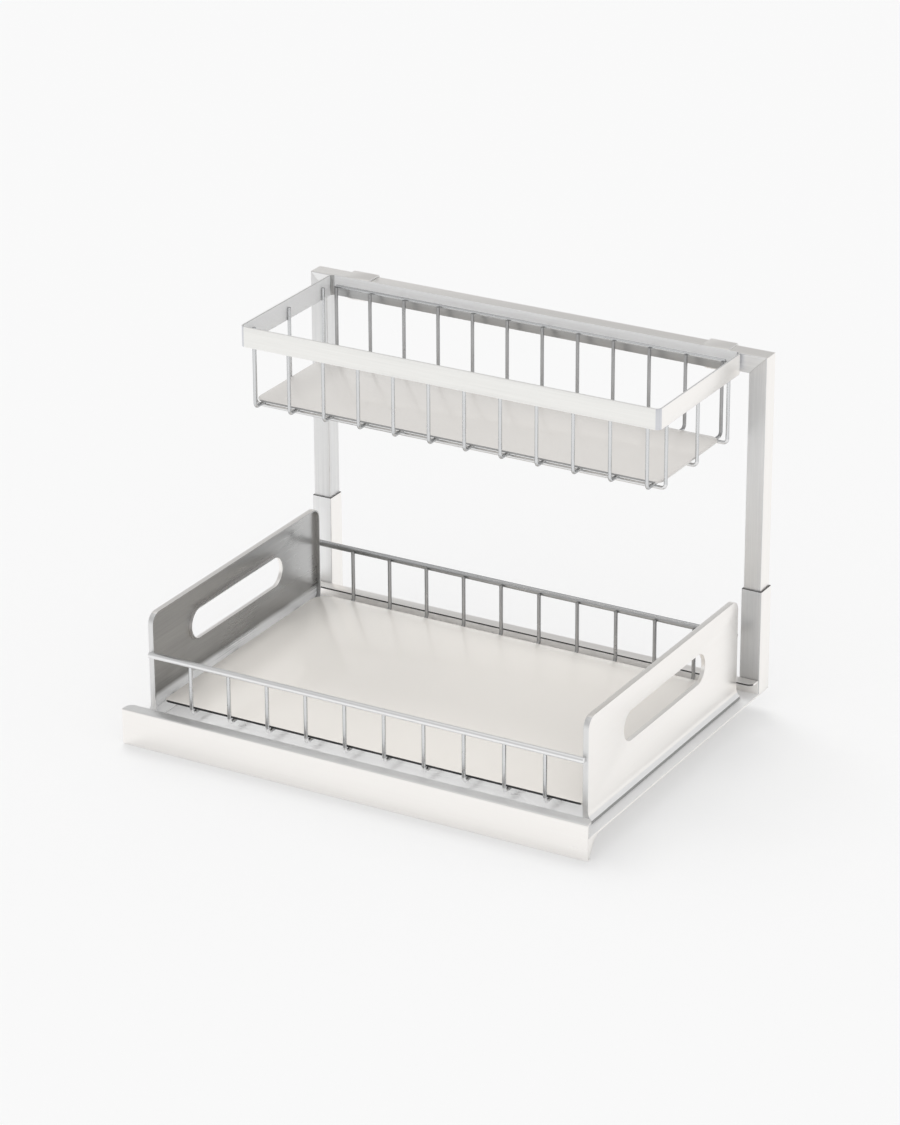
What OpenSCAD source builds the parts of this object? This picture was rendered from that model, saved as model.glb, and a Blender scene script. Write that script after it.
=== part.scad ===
// Two-tier pull-out cabinet basket.
// A low frame is screwed to the cabinet floor. A folded sheet tray runs out of the
// cabinet on two flat ball-bearing slides, carrying a lift-out basket with handle
// panels and, on a goalpost frame at the back, a smaller hook-on wire basket.
// Millimetres. +X right, +Y to the back of the cabinet, +Z up from the cabinet floor.

/* [Tray] */
// Width of the tray, edge to edge
tray_w = 400; // [360:1:460]
// Depth of the tray, fascia face to the back of the post sleeves
tray_d = 297; // [285:1:340]
// Thickness of the folded sheet
sheet_t = 1.2; // [1:0.1:1.5]
// Height of the underside of the tray floor
tray_z = 17.4; // [17.2:0.1:22]
// Height of the tray's front and rear lips above the cabinet floor
lip_top = 30; // [28:0.5:36]
// Depth of the turned-over top of the front lip
front_return = 9.6; // [7:0.1:12]
// Depth of the turned-over top of the rear lip
rear_return = 10.4; // [7:0.1:11]
// Corner radius of the turned-over lips, seen from above
return_corner_r = 5; // [2:0.5:6]
// Clearance between the fascia and the cabinet floor
fascia_clear = 0.8; // [0.6:0.1:3]
// Depth of the hem along the foot of the fascia
fascia_hem = 4; // [3:0.5:6]
// How far the fascia's end gussets run back under the tray
gusset_reach = 31; // [24:1:40]
// Steepness of the curve of the end gussets
gusset_power = 5; // [3:1:7]

/* [Floor frame and slides] */
// Thickness of the rubber pads under the floor frame
pad_t = 1.5; // [1:0.1:2.5]
// Radius of the rubber pads
pad_r = 9; // [6:0.5:11]
// Thickness of the flat cross ties
tie_t = 1.5; // [1.2:0.1:2]
// Width of the cross ties, front to back
tie_w = 24; // [18:1:30]
// How far the ends of the ties stop short of the tray's edges
tie_inset = 36; // [30:1:50]
// Distance from the tray's front to the middle of the front tie
tie_front = 40; // [36:1:44]
// Distance from the tray's back to the middle of the rear tie
tie_rear = 42; // [40:1:60]
// Radius of the screw holes in the ties
floor_hole_r = 2.25; // [1.75:0.25:2.75]
// Distance from the ends of the ties to their screw holes
hole_inset = 12; // [9:0.5:20]
// Distance of each slide's centre line from the tray's edge
slide_inset = 82; // [80:1:100]
// Distance from the tray's front to the slides
slide_front = 14; // [12:1:18]
// Distance from the tray's back to the end of the slides
slide_rear = 13; // [8:1:20]
// How much shorter the moving slide members are than the fixed ones
member_short = 8; // [6:0.5:12]
// Width of a slide
slide_w = 35; // [34:1:38]
// Height of a fixed slide member
slide_h = 12; // [11.6:0.1:12.2]
// Travel of the tray
travel = 240; // [180:10:240]
// Radius of the bearing balls
ball_r = 2; // [1.8:0.05:2]
// Balls in one row
ball_count = 7; // [5:1:7]
// Distance between neighbouring balls
ball_pitch = 11; // [10:0.5:11.5]
// Length of a ball cage
cage_len = 80; // [76:1:86]

/* [Posts and crossbar] */
// Side of the square sleeves that stand on the tray
sleeve_w = 17; // [16.6:0.1:19]
// Height of the top of the sleeves
sleeve_top = 103.7; // [90:0.1:130]
// Wall of the sleeves and of the upper tube
tube_wall = 1; // [0.8:0.1:1.2]
// Side of the square upper tube
post_w = 14.7; // [14:0.1:14.7]
// Corner radius of the square tubes
tube_corner_r = 0.8; // [0.5:0.1:1]
// Height of the top of the crossbar
frame_top = 293.9; // [270:0.1:340]
// Height of the plastic foot block in each sleeve
foot_h = 8; // [6:0.5:12]
// Radius of the foot screws
foot_screw_r = 2.5; // [2:0.25:3]

/* [Lower basket] */
// Distance from the tray's side edges to the side panels
basket_side = 11.5; // [10:0.5:24]
// Distance from the tray's front to the side panels
basket_front = 22; // [20:0.5:23]
// Distance from the tray's back to the side panels
basket_rear = 33; // [33:0.5:50]
// Height of the top of the side panels
panel_top = 102.3; // [90:0.1:130]
// Depth of the flange turned in around each panel
panel_flange = 4.5; // [3:0.5:7]
// Corner radius of the side panels
panel_corner_r = 9; // [5:0.5:14]
// Radius of the flare along the foot of each panel
flare_r = 8; // [5:0.5:9]
// Angle the flare turns through
flare_angle = 52; // [40:1:58]
// Width of the flat foot under each panel
foot_w = 11.6; // [9:0.1:14]
// Length of the handle slots
slot_len = 132; // [100:1:150]
// Height of the handle slots
slot_h = 25; // [20:0.5:32]
// Height of the middle of the handle slots
slot_z = 70; // [66:0.5:80]
// Depth of the rolled rim of the handle slots
slot_rim = 2.2; // [1.5:0.1:4]
// Diameter of the basket's rails and floor rods
rail_d = 5; // [4:0.1:6]
// Height of the middle of the rails
rail_z = 70; // [55:0.5:85]
// Diameter of the lower basket's cross wires
low_wire_d = 3; // [2.5:0.1:3.5]
// Number of cross wires in the lower basket
low_wire_count = 10; // [8:1:10]
// Distance from the outer face of a side panel to the first cross wire
low_wire_end = 36.2; // [34:0.1:44]
// Bend radius of the lower cross wires
low_bend_r = 4; // [3:0.5:5]
// Thickness of the lower mat
low_mat_t = 2; // [1.5:0.1:3]
// Corner radius of the lower mat at its back
low_mat_r = 14; // [6:1:25]
// Corner radius of the lower mat at its front
low_mat_front_r = 4; // [2:0.5:20]
// Gap between the lower mat and the side panels
low_mat_side = 6.3; // [5:0.1:10]
// Gap between the lower mat and the basket's rails
low_mat_end = 9.5; // [9.3:0.1:14]

/* [Upper basket] */
// Gap between the upper basket's rim and the posts
rim_side = 5.15; // [4:0.05:12]
// Depth of the upper basket's rim
rim_d = 134.3; // [110:0.1:160]
// Height of the rim band
rim_h = 16.5; // [14:0.1:22]
// Height of the rim's top above the crossbar
rim_rise = 1.7; // [1.2:0.1:4]
// Corner radius of the rim
rim_corner_r = 4.5; // [3:0.5:8]
// Depth of the whole upper basket, rim top to wires
up_basket_h = 69.2; // [50:0.1:90]
// Distance from the back of the rim to the middle of the rear legs
rear_leg_gap = 10.7; // [9:0.1:14]
// Diameter of the upper basket's wires
up_wire_d = 2.8; // [2.4:0.1:3.2]
// Diameter of the top wire along the back
back_wire_d = 2.6; // [2.2:0.1:3]
// Depth of the middle of the top wire below the top of the rim
back_wire_drop = 6; // [4:0.1:9]
// Bend radius of the upper basket's wires
up_bend_r = 3.5; // [3:0.5:5]
// Distance from the end of the rim to the first cross wire
up_wire_end = 11; // [8:0.1:16]
// Number of cross wires in the upper basket
up_wire_count = 12; // [10:1:12]
// Distance from the front and back of the rim to the long wires beside them
long_wire_end = 16.5; // [12:0.5:30]
// Thickness of the upper mat
up_mat_t = 1.8; // [1.2:0.1:3]
// Gap between the upper mat and the front of the rim
up_mat_front = 11; // [10:0.5:30]
// Gap between the upper mat and the back of the rim
up_mat_back = 22.5; // [19:0.5:30]
// Corner radius of the upper mat
up_mat_r = 8; // [3:0.5:15]
// Thickness of the hooks
hook_t = 1.2; // [1:0.1:2]
// Width of the hooks
hook_w = 22; // [18:1:34]
// Distance from the inner side of each post to the middle of the hook beside it
hook_inset = 28; // [24:1:60]
// Depth of the hooks behind the crossbar
hook_drop = 11; // [6:0.5:14]

/* [Hidden] */
$fn = 48;

// Clearances
touch = 0.05;     // between pieces that are welded or laid on each other
seat = 0.3;       // between pieces that only rest on each other
hook_gap = 0.4;   // between a hook and the crossbar
ball_play = 0.08; // between a ball and its groove
cage_play = 0.06; // between a ball and its cage

steel = [0.80, 0.81, 0.83];
bright = [0.90, 0.91, 0.93];
zinc = [0.72, 0.74, 0.76];
dark = [0.16, 0.16, 0.17];
mat_colour = [0.90, 0.88, 0.85];

// Main planes
tray_top = tray_z + sheet_t;
sleeve_y = tray_d - sleeve_w;
step = (sleeve_w - post_w) / 2;
bar_y = sleeve_y + step;
bar_back = bar_y + post_w;
post_x = tray_w / 2 - step - post_w;
hook_x = post_x - hook_inset;
hook_back = bar_back + hook_gap + hook_t;
y_mid = max(tray_d, hook_back) / 2;

// Floor frame
tie_len = tray_w - 2 * tie_inset;
tie_y = [tie_front, tray_d - tie_rear];
floor_hole_span = tie_len - 2 * hole_inset;

// Slides, heights measured up from the underside of the fixed member
slide_x = tray_w / 2 - slide_inset;
slide_len = tray_d - slide_front - slide_rear;
rail_z0 = pad_t + tie_t;
member_t = 1.2;
outer_flange = 1.4;
lip_t = 1.2;
lip_in = 1.1;
ball_z = 6.4;
outer_ball_x = slide_w / 2 - 2.7;
middle_flange = 1.8;
middle_x = outer_ball_x - ball_r + 0.7;
middle_top = 10.2;
middle_z = 2.6;
middle_t = 1;
inner_ball_x = middle_x - middle_flange + 0.5 - ball_r;
inner_x = inner_ball_x - ball_r + 0.5;
inner_flange = 1.4;
inner_z = 4.9;
cage_t = 0.6;
cage_top = 8.4;
cage_rest = 0.3;
cage_y = slide_front + (slide_len - cage_len) / 2;
member_len = slide_len - member_short;
bumper_w = 22;
bumper_h = 8;
rivet_r = 2;
rivet_head_r = 3.2;
rivet_head_h = 0.8;
rivet_tail_h = 1;
rivet_end = 26;
tray_rivet_y = [for (k = [0, 0.5, 1]) slide_front + rivet_end + k * (member_len - 2 * rivet_end)];
ear_margin = 8;
flange_down = 8;

// Lower basket
panel_x = tray_w / 2 - basket_side;
panel_in = panel_x - sheet_t;
foot_z = tray_top + seat;
foot_top = foot_z + sheet_t;
flare_z = foot_top + flare_r * sin(flare_angle) + 1.6;
flare_cx = panel_x + flare_r;
foot_x = flare_cx - flare_r * cos(flare_angle);
basket_back = tray_d - basket_rear;
low_wire_pitch = 2 * (panel_x - low_wire_end) / (low_wire_count - 1);
rail_front_y = basket_front - rail_d / 2 - touch;
rail_back_y = basket_back + rail_d / 2 + touch;
rod_z = foot_top + rail_d / 2 + touch;
rod_inset = 30;
low_floor_z = rod_z + rail_d / 2 + touch + low_wire_d / 2;
low_mat_z = low_floor_z + low_wire_d / 2 + touch;
low_leg_in = (rail_d + low_wire_d) / 2 + touch;

// Upper basket
rim_x = post_x - rim_side;
rim_top = frame_top + rim_rise;
rim_back = bar_y - hook_gap - hook_t;
rim_front = rim_back - rim_d;
rim_mid = (rim_front + rim_back) / 2;
long_z = rim_top - up_basket_h + up_wire_d / 2;
up_floor_z = long_z + up_wire_d + touch;
up_mat_z = up_floor_z + up_wire_d / 2 + touch;
wire_top = rim_top - back_wire_drop;
up_front_y = rim_front + sheet_t + up_wire_d / 2 + touch;
up_back_y = rim_back - rear_leg_gap;
back_wire_y = up_back_y + (up_wire_d + back_wire_d) / 2 + touch;
long_x = rim_x - sheet_t - up_wire_d / 2 - touch;
up_wire_x = rim_x - up_wire_end;
up_wire_pitch = 2 * up_wire_x / (up_wire_count - 1);
long_wire_pitch = rim_d / 2 - long_wire_end;
up_mat_side = 0.9;

// ---- helpers ----

// Moves the model so that its bounding box is centred on the Z axis
module place() {
    translate([0, -y_mid, 0]) children();
}

// Copies a right-hand piece to the chosen side
module side_of(s) {
    if (s > 0) children();
    else mirror([1, 0, 0]) children();
}

// Extrudes an outline drawn in X and Z along Y, from y0 over len
module along_y(y0, len) {
    translate([0, y0 + len, 0]) rotate([90, 0, 0]) linear_extrude(len) children();
}

// Extrudes an outline drawn in Y and Z along X, from x0 over len
module along_x(x0, len) {
    translate([x0, 0, 0]) rotate([90, 0, 90]) linear_extrude(len) children();
}

// Rectangle from corner a to corner b
module box2(a, b) {
    translate(a) square(b - a);
}

// Rectangle with four round corners
module rounded2(a, b, r) {
    box2([a.x + r, a.y], [b.x - r, b.y]);
    box2([a.x, a.y + r], [b.x, b.y - r]);
    for (x = [a.x + r, b.x - r], y = [a.y + r, b.y - r])
        translate([x, y]) circle(r);
}

// Quarter ring of a sheet bend about centre c, inner radius r, in quadrant q
module bend2(c, r, t, q) {
    translate(c) rotate(90 * q) intersection() {
        difference() {
            circle(r + t);
            if (r > 0) circle(r);
        }
        square(r + t + 1);
    }
}

// Round bar along X between x0 and x1
module bar_x(x0, x1, y, z, d) {
    translate([x0, y, z]) rotate([0, 90, 0]) cylinder(d = d, h = x1 - x0);
}

// Wire bent to a U in the YZ plane: two uprights joined along the floor
module u_wire(y0, y1, z0, top, d, r) {
    for (y = [y0, y1])
        translate([0, y, z0 + r]) cylinder(d = d, h = top - z0 - r);
    translate([0, y0 + r, z0]) rotate([-90, 0, 0]) cylinder(d = d, h = y1 - y0 - 2 * r);
    translate([0, y0 + r, z0 + r]) rotate([90, 0, -90])
        rotate([0, 0, -90]) rotate_extrude(angle = 90) translate([r, 0]) circle(d = d);
    translate([0, y1 - r, z0 + r]) rotate([90, 0, 90])
        rotate([0, 0, -90]) rotate_extrude(angle = 90) translate([r, 0]) circle(d = d);
}

// Square tube section, centred
module tube2(w, wall) {
    difference() {
        rounded2([-w / 2, -w / 2], [w / 2, w / 2], tube_corner_r);
        square(w - 2 * wall, center = true);
    }
}

// ---- floor frame ----

module rubber_pads() {
    color(dark)
        for (x = [-tie_len / 2 + tie_w, tie_len / 2 - tie_w], y = tie_y)
            translate([x, y, 0]) cylinder(r = pad_r, h = pad_t);
}

module tie(y) {
    color(zinc)
        difference() {
            translate([0, 0, pad_t]) linear_extrude(tie_t)
                rounded2([-tie_len / 2, y - tie_w / 2], [tie_len / 2, y + tie_w / 2], 4);
            for (x = [-floor_hole_span / 2, floor_hole_span / 2])
                translate([x, y, 0]) cylinder(r = floor_hole_r, h = rail_z0 + 1);
            for (x = [-slide_x, slide_x])
                translate([x, y, 0]) cylinder(r = rivet_r + touch, h = rail_z0 + 1);
        }
}

module front_tie() {
    tie(tie_y[0]);
}

module rear_tie() {
    tie(tie_y[1]);
}

module tie_rivets() {
    color(zinc)
        for (x = [-slide_x, slide_x], y = tie_y) {
            translate([x, y, pad_t]) cylinder(r = rivet_r, h = tie_t + member_t);
            translate([x, y, rail_z0 + member_t - rivet_head_h])
                cylinder(r1 = rivet_r, r2 = rivet_head_r, h = rivet_head_h);
        }
}

// ---- slides, drawn about their own centre line ----

// Both rows of ball grooves, as cylinders along Y
module ball_groove(x, y0, len) {
    for (s = [-1, 1])
        translate([s * x, y0 - 1, ball_z]) rotate([-90, 0, 0])
            cylinder(r = ball_r + ball_play, h = len + 2);
}

module at_slide(s) {
    translate([s * slide_x, 0, rail_z0]) children();
}

module outer_slide(s) {
    color(zinc) at_slide(s) difference() {
        along_y(slide_front, slide_len) {
            box2([-slide_w / 2, 0], [slide_w / 2, member_t]);
            for (m = [0, 1]) mirror([m, 0]) {
                box2([slide_w / 2 - outer_flange, 0], [slide_w / 2, slide_h]);
                box2([slide_w / 2 - outer_flange - lip_in, slide_h - lip_t], [slide_w / 2, slide_h]);
            }
        }
        ball_groove(outer_ball_x, slide_front, slide_len);
        for (y = tie_y) {
            translate([0, y, -1]) cylinder(r = rivet_r + touch, h = member_t + 2);
            translate([0, y, member_t - rivet_head_h])
                cylinder(r1 = rivet_r + touch, r2 = rivet_head_r + 2 * touch, h = rivet_head_h + touch);
        }
    }
}

module middle_slide(s) {
    color(zinc) at_slide(s) difference() {
        along_y(slide_front, member_len) {
            box2([-middle_x, middle_z], [middle_x, middle_z + middle_t]);
            for (m = [0, 1]) mirror([m, 0])
                box2([middle_x - middle_flange, middle_z], [middle_x, middle_top]);
        }
        ball_groove(outer_ball_x, slide_front, member_len);
        ball_groove(inner_ball_x, slide_front, member_len);
    }
}

module inner_slide(s) {
    top = tray_z - rail_z0;
    color(zinc) at_slide(s) difference() {
        along_y(slide_front, member_len) {
            box2([-inner_x, top - member_t], [inner_x, top - touch]);
            for (m = [0, 1]) mirror([m, 0])
                box2([inner_x - inner_flange, inner_z], [inner_x, top - touch]);
        }
        ball_groove(inner_ball_x, slide_front, member_len);
        for (y = tray_rivet_y)
            translate([0, y, top - member_t - 1]) cylinder(r = rivet_r + touch, h = member_t + 2);
    }
}

// A U of thin strip with a hole for each ball
module cage(s, x, z0) {
    color(zinc) at_slide(s) difference() {
        along_y(cage_y, cage_len) {
            box2([-x, z0], [x, z0 + cage_t]);
            for (m = [0, 1]) mirror([m, 0])
                box2([x - cage_t / 2, z0], [x + cage_t / 2, cage_top]);
        }
        for (i = [0:ball_count - 1])
            translate([-x - 1, ball_y(i), ball_z]) rotate([0, 90, 0])
                cylinder(r = ball_r + cage_play, h = 2 * x + 2);
    }
}

function ball_y(i) = cage_y + cage_len / 2 + (i - (ball_count - 1) / 2) * ball_pitch;

module balls(s, x) {
    color(bright) at_slide(s)
        for (m = [-1, 1], i = [0:ball_count - 1])
            translate([m * x, ball_y(i), ball_z]) sphere(r = ball_r, $fn = 24);
}

module outer_cage(s) {
    cage(s, outer_ball_x, member_t + cage_rest);
}

module inner_cage(s) {
    cage(s, inner_ball_x, middle_z + middle_t + cage_rest);
}

module slide_bumpers() {
    y = slide_front + member_len + seat;
    color(dark)
        for (s = [-1, 1]) at_slide(s)
            along_y(y, slide_front + slide_len - y)
                box2([-bumper_w / 2, member_t + touch], [bumper_w / 2, member_t + bumper_h]);
}

// ---- tray ----

// Plan outline of a lip's turned-over top, with round corners on its free edge
module return_outline(y0, y1, free_front) {
    r = return_corner_r;
    w = tray_w / 2 - 0.8;
    front = free_front ? r : 0;
    back = free_front ? 0 : r;
    intersection() {
        union() {
            box2([-w, y0 + front], [w, y1 - back]);
            box2([-w + r, y0], [w - r, y1]);
            for (x = [-w + r, w - r])
                translate([x, free_front ? y0 + r : y1 - r]) circle(r);
        }
        box2([-w, y0], [w, y1]);
    }
}

module tray_pan() {
    wall_y = sleeve_y - sheet_t - touch;
    color(steel) {
        difference() {
            translate([0, 0, tray_z]) linear_extrude(sheet_t) {
                box2([-tray_w / 2, sheet_t + touch], [tray_w / 2, wall_y + sheet_t]);
                for (m = [0, 1]) mirror([m, 0])
                    box2([tray_w / 2 - sleeve_w - ear_margin, wall_y], [tray_w / 2, tray_d]);
            }
            for (x = [-slide_x, slide_x], y = tray_rivet_y)
                translate([x, y, tray_z - 1]) cylinder(r = rivet_r + touch, h = sheet_t + 2);
            for (s = [-1, 1])
                translate([s * (tray_w - sleeve_w) / 2, tray_d - sleeve_w / 2, tray_z - 1])
                    cylinder(r = foot_screw_r + touch, h = sheet_t + 2);
        }
        along_x(-tray_w / 2 + 0.8, tray_w - 1.6) {
            box2([wall_y, tray_z], [wall_y + sheet_t, lip_top - 1]);
            bend2([wall_y, lip_top - sheet_t], 0, sheet_t, 0);
        }
        translate([0, 0, lip_top - sheet_t]) linear_extrude(sheet_t)
            return_outline(wall_y + sheet_t - rear_return, wall_y, true);
        along_x(-tray_w / 2 + 1.4, tray_w - 2.8)
            box2([sheet_t + touch, tray_z - flange_down], [2 * sheet_t + touch, tray_z + sheet_t / 2]);
    }
}

module front_fascia() {
    color(steel) {
        along_x(-tray_w / 2, tray_w) {
            box2([0, fascia_clear + 1], [sheet_t, lip_top - sheet_t]);
            bend2([sheet_t, lip_top - sheet_t], 0, sheet_t, 1);
            box2([1, fascia_clear], [fascia_hem, fascia_clear + 1]);
            bend2([1, fascia_clear + 1], 0, 1, 2);
        }
        translate([0, 0, lip_top - sheet_t]) linear_extrude(sheet_t)
            return_outline(sheet_t, front_return, false);
    }
}

// Height of the gusset's curved lower edge at distance y from the front
function gusset_edge(y) =
    tray_z - (tray_z - fascia_clear) * pow((gusset_reach - y) / (gusset_reach - fascia_hem), gusset_power);

module gusset(s) {
    steps = 16;
    back = gusset_reach - fascia_hem;
    color(steel) side_of(s)
        along_x(tray_w / 2 - sheet_t, sheet_t)
            polygon(concat(
                [[sheet_t + touch, tray_z - touch], [sheet_t + touch, fascia_clear + 1 + touch]],
                [for (i = [1:steps - 1])
                    let (y = fascia_hem + back * i / steps)
                    [y, min(tray_z - touch - 0.4, gusset_edge(y))]],
                [[gusset_reach, tray_z - touch]]
            ));
}

module tray_rivets() {
    color(zinc)
        for (x = [-slide_x, slide_x], y = tray_rivet_y) {
            translate([x, y, tray_z - member_t - touch])
                cylinder(r = rivet_r, h = member_t + sheet_t + 2 * touch);
            translate([x, y, tray_top + touch]) cylinder(r = rivet_head_r, h = rivet_head_h);
            translate([x, y, tray_z - member_t - touch - rivet_tail_h])
                cylinder(r = rivet_head_r - 0.4, h = rivet_tail_h);
        }
}

module post_sleeve(s) {
    color(steel)
        translate([s * (tray_w - sleeve_w) / 2, tray_d - sleeve_w / 2, tray_top + touch])
            linear_extrude(sleeve_top - tray_top - touch) tube2(sleeve_w, tube_wall);
}

module foot_block(s) {
    inner = sleeve_w - 2 * tube_wall - 2 * touch;
    color(dark)
        translate([s * (tray_w - sleeve_w) / 2, tray_d - sleeve_w / 2, tray_top + touch])
            difference() {
                linear_extrude(foot_h) square(inner, center = true);
                translate([0, 0, -1]) cylinder(r = foot_screw_r + touch, h = foot_h + 2);
            }
}

module foot_screws() {
    color(zinc)
        for (s = [-1, 1])
            translate([s * (tray_w - sleeve_w) / 2, tray_d - sleeve_w / 2, 0]) {
                translate([0, 0, tray_z - touch]) cylinder(r = foot_screw_r, h = sheet_t + foot_h - 1);
                translate([0, 0, tray_z - touch - 2]) difference() {
                    cylinder(r = 2 * foot_screw_r - 0.4, h = 2);
                    translate([0, 0, -1]) cylinder(r = 1.6, h = 2.2, $fn = 6);
                }
            }
}

// ---- lower basket ----

// Outline of a side panel in Y and Z, drawn in by the distance d
module panel_outline(d) {
    low = flare_z - 2 * panel_corner_r;
    rounded2([basket_front + d, low], [basket_back - d, panel_top - d], panel_corner_r - d);
}

// Stadium outline of the handle slot, grown by the distance d
module slot_outline(d) {
    y = (basket_front + basket_back) / 2;
    half = (slot_len - slot_h) / 2;
    for (k = [-1, 1])
        translate([y + k * half, slot_z]) circle(slot_h / 2 + d);
    box2([y - half, slot_z - slot_h / 2 - d], [y + half, slot_z + slot_h / 2 + d]);
}

// The flare's sheet in X and Z, between the straight wall and the foot
module flare_outline() {
    intersection() {
        translate([flare_cx, flare_z]) difference() {
            circle(flare_r + sheet_t);
            circle(flare_r);
        }
        polygon([
            [flare_cx, flare_z],
            [panel_in - 1, flare_z],
            [panel_in - 1, foot_top],
            [foot_x - 1, foot_top],
            [flare_cx - 2 * cos(flare_angle), flare_z - 2 * sin(flare_angle)]
        ]);
    }
    box2([foot_x - sheet_t, foot_z], [foot_x, foot_top + 1.6]);
}

// Fills the end of the flare, so that the end flange follows it
module flare_end_outline() {
    difference() {
        box2([panel_x - panel_flange, foot_top - 0.2], [foot_x, flare_z + 0.5]);
        translate([flare_cx, flare_z]) circle(flare_r);
        box2([panel_x, flare_z], [foot_x + 1, flare_z + 1]);
    }
}

module side_panel(s) {
    color(steel) side_of(s) {
        difference() {
            union() {
                along_x(panel_in, sheet_t) intersection() {
                    panel_outline(0);
                    box2([basket_front, flare_z], [basket_back, panel_top]);
                }
                along_x(panel_x - panel_flange, panel_flange) intersection() {
                    difference() {
                        panel_outline(0);
                        panel_outline(sheet_t);
                    }
                    box2([basket_front, flare_z], [basket_back, panel_top]);
                }
                along_x(panel_in - slot_rim, slot_rim + 0.5) slot_outline(sheet_t);
            }
            along_x(panel_in - slot_rim - 1, slot_rim + sheet_t + 2) slot_outline(0);
        }
        along_y(basket_front, basket_back - basket_front) flare_outline();
        along_y(basket_front, sheet_t) flare_end_outline();
        along_y(basket_back - sheet_t, sheet_t) flare_end_outline();
        translate([0, 0, foot_z]) linear_extrude(sheet_t)
            rounded2([foot_x - foot_w, basket_front], [foot_x, basket_back], 2.5);
    }
}

module front_rail() {
    x = panel_x - 2;
    color(bright) bar_x(-x, x, rail_front_y, rail_z, rail_d);
}

module rear_rail() {
    x = panel_x - 2;
    color(bright) bar_x(-x, x, rail_back_y, rail_z, rail_d);
}

module floor_rods() {
    x = panel_in - touch;
    color(bright)
        for (y = [basket_front + rod_inset, (basket_front + basket_back) / 2, basket_back - rod_inset])
            bar_x(-x, x, y, rod_z, rail_d);
}

module lower_cross_wires() {
    color(bright)
        for (i = [0:low_wire_count - 1])
            translate([(i - (low_wire_count - 1) / 2) * low_wire_pitch, 0, 0])
                u_wire(rail_front_y + low_leg_in, rail_back_y - low_leg_in, low_floor_z, rail_z,
                    low_wire_d, low_bend_r);
}

module lower_mat() {
    x = panel_in - low_mat_side;
    y0 = rail_front_y + low_mat_end;
    y1 = rail_back_y - low_mat_end;
    middle = (y0 + y1) / 2;
    color(mat_colour)
        translate([0, 0, low_mat_z]) linear_extrude(low_mat_t) {
            intersection() {
                rounded2([-x, y0], [x, y1], low_mat_r);
                box2([-x, middle], [x, y1]);
            }
            intersection() {
                rounded2([-x, y0], [x, y1], low_mat_front_r);
                box2([-x, y0], [x, middle]);
            }
        }
}

// ---- posts and crossbar ----

// One upright, cut off at its top along the mitre
module post(s) {
    bottom = tray_top + touch + foot_h + seat;
    x0 = post_x;
    x1 = post_x + post_w;
    color(steel) side_of(s)
        intersection() {
            translate([(x0 + x1) / 2, bar_y + post_w / 2, bottom])
                linear_extrude(frame_top - bottom) tube2(post_w, tube_wall);
            along_y(bar_y - 1, post_w + 2)
                polygon([
                    [x0 - 1, bottom],
                    [x1 + 1, bottom],
                    [x1 + 1, frame_top + 1 - touch],
                    [x0 - 1, frame_top - post_w - 1 - touch]
                ]);
        }
}

module crossbar() {
    x0 = post_x;
    x1 = post_x + post_w;
    color(steel)
        intersection() {
            translate([-x1, bar_y + post_w / 2, frame_top - post_w / 2]) rotate([90, 0, 90])
                linear_extrude(2 * x1) tube2(post_w, tube_wall);
            along_y(bar_y - 1, post_w + 2)
                polygon([
                    [-x1 - 1, frame_top + 1],
                    [x1 + 1, frame_top + 1],
                    [x0 - 1, frame_top - post_w - 1],
                    [-x0 + 1, frame_top - post_w - 1]
                ]);
        }
}

// ---- upper basket ----

module upper_rim() {
    inner = rim_x - sheet_t;
    color(steel)
        translate([0, 0, rim_top - rim_h]) linear_extrude(rim_h) difference() {
            rounded2([-rim_x, rim_front], [rim_x, rim_back], rim_corner_r);
            rounded2([-inner, rim_front + sheet_t], [inner, rim_back - sheet_t], rim_corner_r - sheet_t);
        }
}

module upper_cross_wires() {
    color(bright)
        for (i = [0:up_wire_count - 1])
            translate([(i - (up_wire_count - 1) / 2) * up_wire_pitch, 0, 0])
                u_wire(up_front_y, up_back_y, up_floor_z, wire_top, up_wire_d, up_bend_r);
}

module upper_long_wires() {
    color(bright)
        for (k = [-1, 0, 1])
            translate([0, rim_mid + k * long_wire_pitch, 0]) rotate([0, 0, -90])
                u_wire(-long_x, long_x, long_z, wire_top, up_wire_d, up_bend_r);
}

module back_top_wire() {
    x = up_wire_x + up_wire_d / 2;
    color(bright) bar_x(-x, x, back_wire_y, wire_top, back_wire_d);
}

// Strip bent over the crossbar: a leg in front, a flat over the top, a lip behind
module hook(s) {
    r = 1;
    y0 = rim_back + touch;
    y1 = hook_back;
    z1 = frame_top + seat + hook_t;
    leg_z = frame_top - post_w - 1.4;
    lip_z = frame_top - hook_drop;
    side = [hook_x - hook_w / 2, hook_x + hook_w / 2];
    leg_r = 5;
    lip_r = 4;
    color(steel) side_of(s)
        intersection() {
            along_x(side[0], hook_w) {
                box2([y0, leg_z], [y0 + hook_t, z1 - hook_t - r]);
                bend2([y0 + hook_t + r, z1 - hook_t - r], r, hook_t, 1);
                box2([y0 + hook_t + r, z1 - hook_t], [y1 - hook_t - r, z1]);
                bend2([y1 - hook_t - r, z1 - hook_t - r], r, hook_t, 0);
                box2([y1 - hook_t, lip_z], [y1, z1 - hook_t - r]);
            }
            union() {
                along_y(y0 - 1, hook_t + 2)
                    rounded2([side[0], leg_z], [side[1], z1 + 2 * leg_r], leg_r);
                along_y(y0 + hook_t + 1 - 0.01, y1 - y0)
                    rounded2([side[0], lip_z], [side[1], z1 + 2 * lip_r], lip_r);
            }
        }
}

module upper_mat() {
    x = long_x - up_wire_d / 2 - up_mat_side;
    color(mat_colour)
        translate([0, 0, up_mat_z]) linear_extrude(up_mat_t)
            rounded2([-x, rim_front + up_mat_front], [x, rim_back - up_mat_back], up_mat_r);
}

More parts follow.
